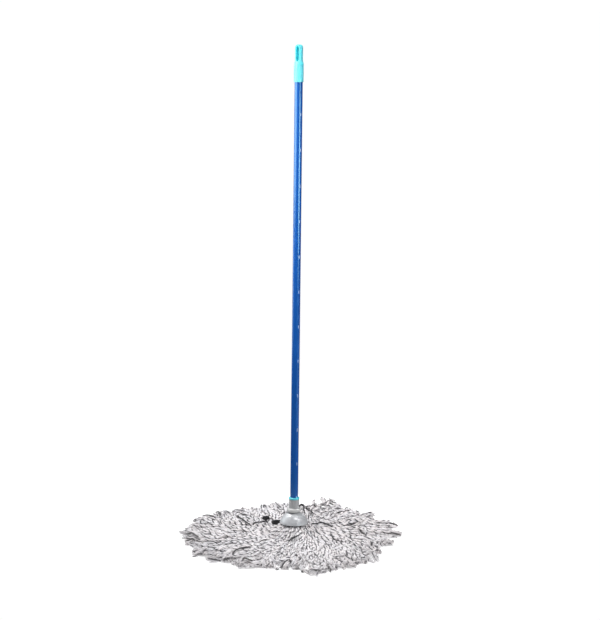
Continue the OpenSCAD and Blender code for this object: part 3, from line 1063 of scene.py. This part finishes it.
def tube_mesh(name, batches):
    """One mesh of closed tubes. A batch has lines, their radii, (dirt, tint) for each line, and the
    number of sides."""
    verts, quads, caps, shades, used = [], [], [], [], 0
    for lines, radii, shade, sides in batches:
        count, n, _ = lines.shape
        first, second = travelling_frames(lines)
        turn = np.arange(sides) * 2 * np.pi / sides
        ring = np.cos(turn)[:, None] * first[:, :, None] + np.sin(turn)[:, None] * second[:, :, None]
        verts.append((lines[:, :, None] + ring * radii[:, :, None, None]).reshape(-1, 3))
        s, r, c = np.meshgrid(np.arange(count), np.arange(n - 1), np.arange(sides), indexing="ij")
        base = used + (s * n + r) * sides
        after = (c + 1) % sides
        corners = [base + c, base + after, base + sides + after, base + sides + c]
        quads.append(np.stack(corners, -1).reshape(-1, 4))
        starts = used + (np.arange(count) * n * sides)[:, None]
        caps.extend(starts + np.arange(sides)[::-1])
        caps.extend(starts + (n - 1) * sides + np.arange(sides))
        # The attribute is a vector, so a third number that nothing reads is added
        shades.append(np.repeat(np.pad(shade, ((0, 0), (0, 1))), n * sides, 0))
        used += count * n * sides
    verts, quads, shades = (np.concatenate(part) for part in (verts, quads, shades))
    loops = np.concatenate([quads.ravel()] + caps)
    face_sizes = np.concatenate([np.full(len(quads), 4), [len(cap) for cap in caps]])
    mesh = bpy.data.meshes.new(name)
    mesh.vertices.add(len(verts))
    mesh.vertices.foreach_set("co", verts.astype(np.float32).ravel())
    mesh.loops.add(len(loops))
    mesh.loops.foreach_set("vertex_index", loops.astype(np.int32))
    mesh.polygons.add(len(face_sizes))
    mesh.polygons.foreach_set("loop_start", (np.cumsum(face_sizes) - face_sizes).astype(np.int32))
    mesh.polygons.foreach_set("use_smooth", np.ones(len(face_sizes), bool))
    mesh.update(calc_edges=True)
    attribute = mesh.attributes.new("yarn", "FLOAT_VECTOR", "POINT")
    attribute.data.foreach_set("vector", shades.astype(np.float32).ravel())
    return mesh


def add_yarn_piece(name, batches, material, node=None):
    mesh = tube_mesh(name, batches)
    mesh.materials.append(material)
    piece = bpy.data.objects.new(name, mesh)
    bpy.context.scene.collection.objects.link(piece)
    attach(piece, "head")
    if node:
        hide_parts(node)


def add_strays(name, threads, material):
    """Loose threads as one piece. Those far out are dustier, and so look faded."""
    batches = []
    for line, radii in threads:
        distance = np.hypot(line[..., 0], line[..., 1]).mean()
        dirt = 0.1 + 0.8 * rise(distance, start=0.2, reach=0.08)
        batches.append((line, radii, np.array([[dirt, STRAY_TINT]]), STRAY_SIDES))
    add_yarn_piece(name, batches, material)


def add_plies(name, plies, chosen, shade, material, node=None):
    """Some plies of the chosen strands as one piece, with their loose singles."""
    batches = []
    for body, singles in plies:
        for sides, (line, radii) in [(PLY_SIDES, body)] + [(SINGLE_SIDES, single) for single in singles]:
            batches.append((line[chosen], radii[chosen], shade[chosen], sides))
    add_yarn_piece(name, batches, material, node)


def make_yarn():
    rng = np.random.default_rng(SEED)
    points, angle, level, step = lay_strands(rng)
    points = warp(settle(points, level, step), level, rng)
    strands = spin_strands(spline(points, step), level, rng)
    white = yarn_material("yarn_white", *WHITE_TONES)
    dark = yarn_material("yarn_dark", *DARK_TONES)
    black = yarn_material("yarn_black", *BLACK_TONES)
    shade = np.stack([rng.random(len(angle)) ** 2, rng.random(len(angle))], -1)
    black_threads, white_threads = stray_threads(points)
    add_strays("stray_black_yarn", black_threads, black)
    add_strays("stray_white_yarn", white_threads, white)
    per_layer = len(angle) // len(LAYERS)
    bundle_width = 360 / BUNDLES
    for layer, layer_name in enumerate(LAYERS):
        start = layer * per_layer
        turned = np.degrees(angle[start:start + per_layer])
        # The first lower bundle is centred on +X, and each upper one lies over a gap between two of them
        offset = bundle_width / 2 * (1 - layer)
        sector = np.floor((turned + offset) / bundle_width).astype(int) % BUNDLES
        for k in range(BUNDLES):
            chosen = start + np.nonzero(sector == k)[0]
            node = f"yarn_{layer_name}_{k + 1:02d}"
            add_plies(f"{node}_white_plies", strands[1:], chosen, shade, white, node)
            add_plies(f"{node}_dark_ply", strands[:1], chosen, shade, dark)


make_camera()
make_world()
make_stage()
make_lights()
paint_hard_parts()
make_yarn()
